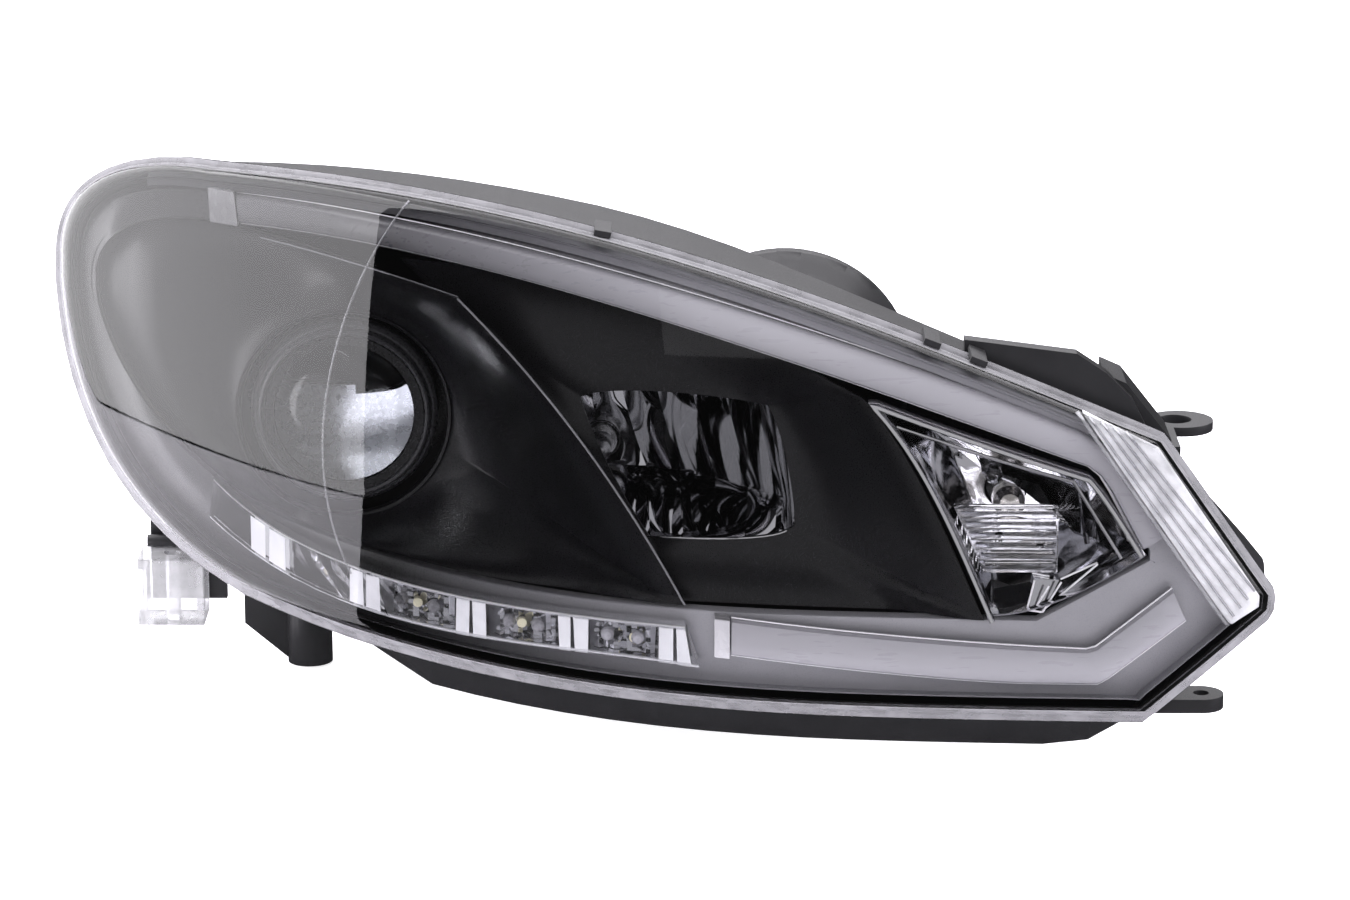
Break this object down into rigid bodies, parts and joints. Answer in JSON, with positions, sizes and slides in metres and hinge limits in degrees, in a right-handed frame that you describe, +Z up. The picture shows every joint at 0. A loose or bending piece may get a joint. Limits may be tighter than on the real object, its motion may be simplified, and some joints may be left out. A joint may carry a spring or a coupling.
{
  "type": "car headlight",
  "caption": "Swept car headlight with a clear cover, projector low beam, reflector high beam, turn signal, light guides and an aimable carrier.",
  "frame": {"origin": "centre of the inner top tab's screw hole, on the tab's top face", "axes": "+X towards the car's centre, -Y to the front, +Z up; the lamp is longest along X"},
  "size_m": [0.527, 0.2912, 0.2395],
  "materials": {
    "clear_cover": "clear polycarbonate with a hard coat",
    "seal_rubber": "soft matte",
    "housing_plastic": "moulded, fine grain",
    "bezel_plastic": "satin black",
    "bright_metal": "vacuum-metallised, bright",
    "clear_prism": "clear acrylic",
    "amber_glass": "clear amber",
    "frosted_guide": "frosted acrylic",
    "led_coupler": "clear block over a white board",
    "carrier_plastic": "glass-filled, matte",
    "lens_glass": "polished glass",
    "trim_ring_plastic": "satin grey",
    "bowl_aluminium": "bright inside, cast outside",
    "spring_steel": "zinc-plated",
    "bulb_base": "bright steel base, clear bulb",
    "white_nylon": "natural nylon",
    "contact_brass": "bright"
  },
  "bodies": {
    "lamp_shell": {"lens_cover": "clear_cover", "lens_seal": "seal_rubber", "housing": "housing_plastic", "bezel_frame": "bezel_plastic", "projector_surround": "bezel_plastic", "beam_surround": "bezel_plastic", "turn_reflector": "bright_metal", "turn_trim": "bright_metal", "turn_prism": "clear_prism", "upper_light_guide": "frosted_guide", "upper_guide_led": "led_coupler", "lower_light_guide": "frosted_guide", "lower_guide_led": "led_coupler", "drl_reflector": "bright_metal", "drl_lens": "clear_prism", "drl_led_board": "led_coupler", "pivot_stud": "spring_steel", "levelling_motor": "carrier_plastic", "aim_bearing": "carrier_plastic", "vent_cap": "seal_rubber", "connector_socket": "housing_plastic", "connector_pins": "contact_brass", "rear_screws": "spring_steel", "lens_clips": "housing_plastic", "inner_bracket": "housing_plastic", "lower_lug": "housing_plastic", "outer_arm": "housing_plastic", "lower_post": "housing_plastic", "outer_mount_block": "white_nylon", "post_insert": "contact_brass"},
    "pivot": {"pivot_bush": "white_nylon"},
    "carrier": {"carrier_frame": "carrier_plastic", "projector_holder": "carrier_plastic", "projector_lens": "lens_glass", "projector_trim_ring": "trim_ring_plastic", "projector_reflector": "bowl_aluminium", "cutoff_shield": "spring_steel", "low_beam_bulb": "bulb_base", "high_beam_reflector": "bright_metal", "high_beam_bulb": "bulb_base", "carrier_screws": "spring_steel"},
    "low_clip": {"low_bulb_clip": "spring_steel"},
    "high_clip": {"high_bulb_clip": "spring_steel"},
    "levelling_rod": {"levelling_rod": "white_nylon"},
    "aim_rod": {"aim_rod": "white_nylon"},
    "vertical_adjuster": {"vertical_adjuster": "white_nylon"},
    "horizontal_adjuster": {"horizontal_adjuster": "white_nylon"},
    "low_cap": {"low_beam_cap": "housing_plastic", "low_cap_seal": "seal_rubber"},
    "high_cap": {"high_beam_cap": "housing_plastic", "high_cap_seal": "seal_rubber"},
    "turn_holder": {"turn_bulb_holder": "housing_plastic", "turn_bulb": "amber_glass", "turn_holder_seal": "seal_rubber"}
  },
  "joints": [
    {"name": "pan", "type": "hinge", "parent": "lamp_shell", "child": "pivot", "pos_m": [-0.163, 0.08, -0.062], "axis": [0, 0, 1], "range_deg": [-1.5, 1.5]},
    {"name": "tilt", "type": "hinge", "parent": "pivot", "child": "carrier", "pos_m": [-0.163, 0.08, -0.062], "axis": [1, 0, 0], "range_deg": [-2.5, 2.5]},
    {"name": "low_clip_swing", "type": "hinge", "parent": "carrier", "child": "low_clip", "pos_m": [-0.351, 0.1292, 0.014], "axis": [1, 0, 0], "range_deg": [0, 100]},
    {"name": "high_clip_swing", "type": "hinge", "parent": "carrier", "child": "high_clip", "pos_m": [-0.2415, 0.0452, -0.002], "axis": [1, 0, 0], "range_deg": [0, 95]},
    {"name": "levelling_rod_slide", "type": "slide", "parent": "lamp_shell", "child": "levelling_rod", "axis": [0, 1, 0], "range_m": [-0.0037, 0.0037]},
    {"name": "aim_rod_slide", "type": "slide", "parent": "lamp_shell", "child": "aim_rod", "axis": [0, 1, 0], "range_m": [-0.0062, 0.0062]},
    {"name": "vertical_adjuster_turn", "type": "hinge", "parent": "lamp_shell", "child": "vertical_adjuster", "pos_m": [-0.163, 0.126, 0.02], "axis": [0, 1, 0], "range_deg": [-169, 169]},
    {"name": "horizontal_adjuster_turn", "type": "hinge", "parent": "lamp_shell", "child": "horizontal_adjuster", "pos_m": [-0.395, 0.171, -0.062], "axis": [0, 1, 0], "range_deg": [-276, 276]},
    {"name": "low_cap_twist", "type": "hinge", "parent": "lamp_shell", "child": "low_cap", "pos_m": [-0.351, 0.174, -0.005], "axis": [0, 1, 0], "range_deg": [0, 40]},
    {"name": "high_cap_twist", "type": "hinge", "parent": "lamp_shell", "child": "high_cap", "pos_m": [-0.222, 0.168, -0.016], "axis": [0, 1, 0], "range_deg": [0, 40]},
    {"name": "turn_holder_twist", "type": "hinge", "parent": "lamp_shell", "child": "turn_holder", "pos_m": [-0.072, 0.04, -0.024], "axis": [0, 1, 0], "range_deg": [0, 45]}
  ],
  "couplings": [
    {"joint": "levelling_rod_slide", "follows": "tilt", "m_per_rad": -0.082},
    {"joint": "aim_rod_slide", "follows": "pan", "m_per_rad": -0.232},
    {"joint": "vertical_adjuster_turn", "follows": "tilt", "ratio": 64.403},
    {"joint": "horizontal_adjuster_turn", "follows": "pan", "ratio": 182.21}
  ]
}
